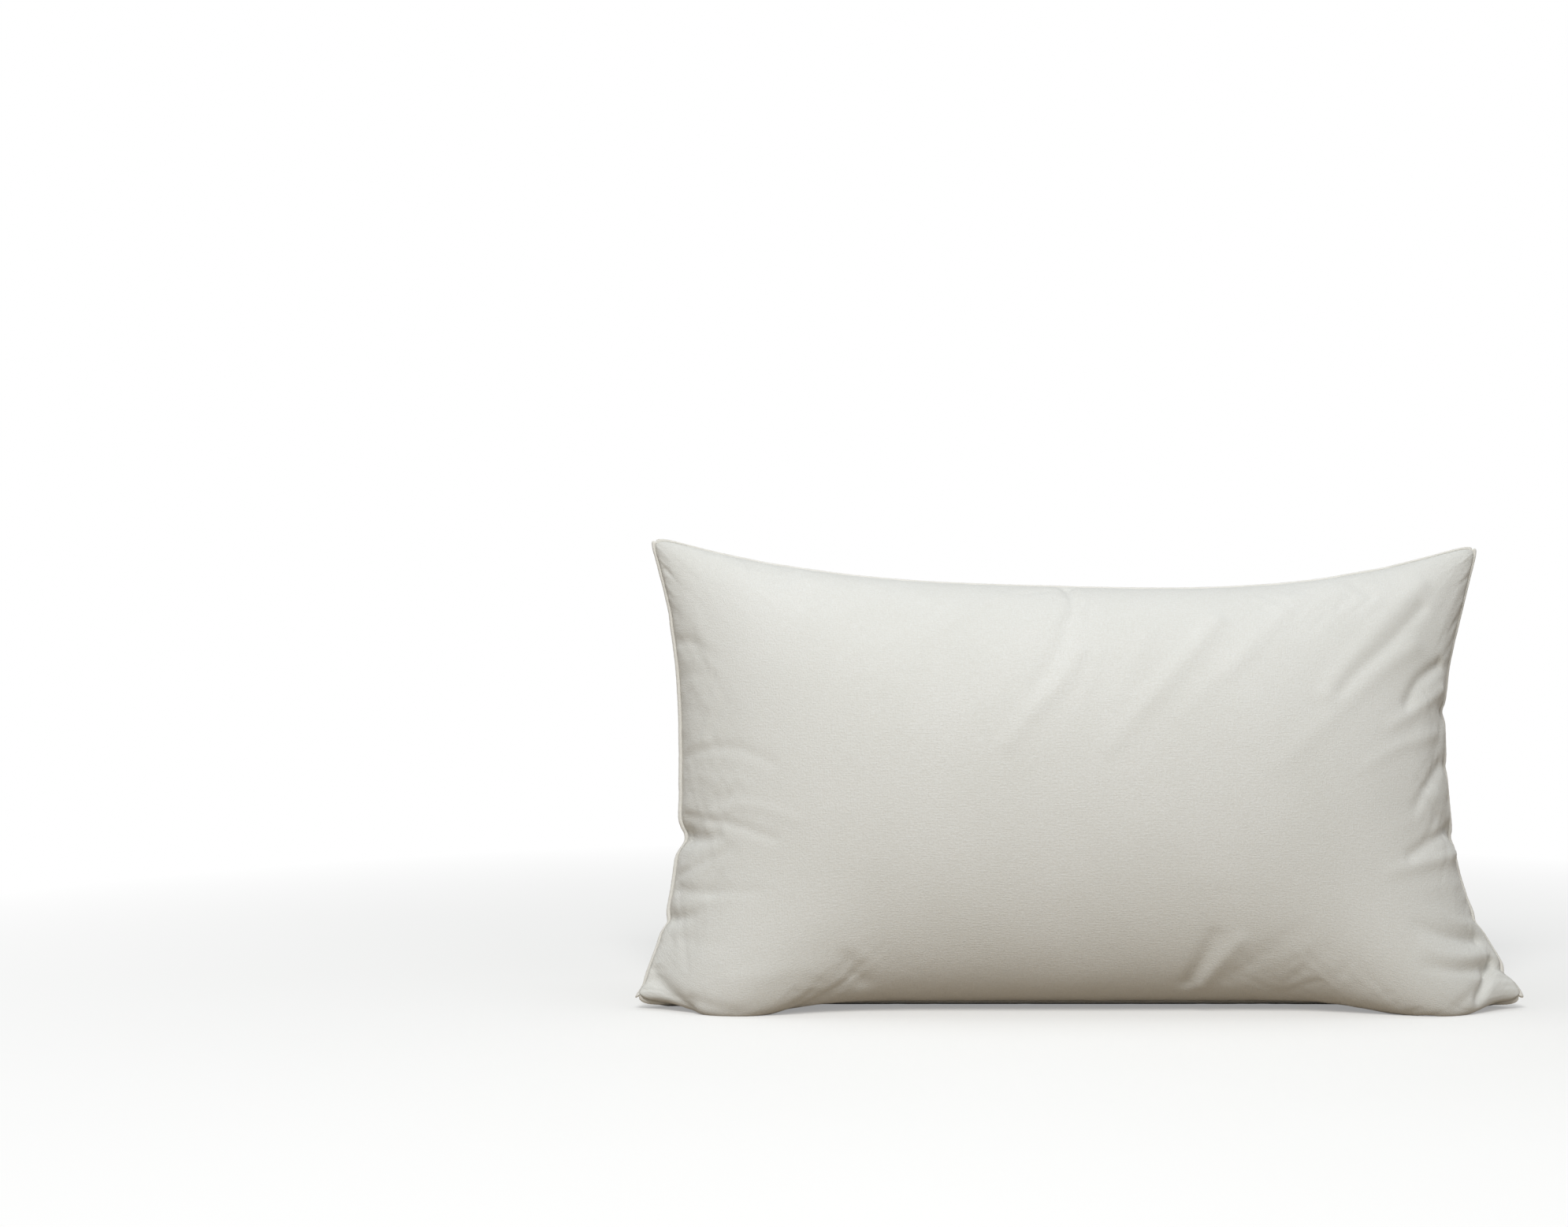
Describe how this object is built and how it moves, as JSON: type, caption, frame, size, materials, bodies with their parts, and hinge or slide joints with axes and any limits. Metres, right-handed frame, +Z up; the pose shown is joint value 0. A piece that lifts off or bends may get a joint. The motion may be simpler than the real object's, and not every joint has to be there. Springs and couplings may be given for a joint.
{
  "type": "bed pillow",
  "caption": "Plump rectangular bed pillow in off-white down-proof sateen with a corded edge, standing on one long side and leaning back, with a chambered filling",
  "frame": {"origin": "on the ground under the middle of the pillow as it stands on one long side", "axes": "X along the long side, Y from the front face to the back face, Z up"},
  "size_m": [0.779, 0.23, 0.4162],
  "materials": {
    "ticking_front": "off-white down-proof cotton sateen, soft sheen",
    "ticking_back": "off-white down-proof cotton sateen, soft sheen",
    "piping_strip": "self-fabric bias strip, off-white",
    "filler_cord": "twisted cotton cord, undyed white",
    "thread": "polyester sewing thread, white",
    "down": "loose down, matt white",
    "bag_cloth": "plain-woven cotton cambric, natural white",
    "feather": "small feathers, matt off-white",
    "label_tape": "blank woven label tape, white satin"
  },
  "bodies": {
    "pillow": {"front_ticking": "ticking_front", "back_ticking": "ticking_back", "piping_sleeve": "piping_strip", "piping_cord": "filler_cord", "seam_thread": "thread", "closing_stitches": "thread", "front_soft_layer": "down", "back_soft_layer": "down", "core_bag_front": "bag_cloth", "core_bag_back": "bag_cloth", "core_bag_thread": "thread", "core_filling": "feather"},
    "care_label_leaf": {"care_label": "label_tape"},
    "size_label_leaf": {"size_label": "label_tape"}
  },
  "joints": [
    {"name": "care_label_flap", "type": "hinge", "parent": "pillow", "child": "care_label_leaf", "pos_m": [0.33803, -0.00687, 0.14952], "axis": [0.0594, -0.26, -0.9638], "range_deg": [-4, 100]},
    {"name": "size_label_flap", "type": "hinge", "parent": "pillow", "child": "size_label_leaf", "pos_m": [0.33764, 0.01582, 0.23399], "axis": [-0.0581, -0.2584, -0.9643], "range_deg": [-25, 75]}
  ]
}
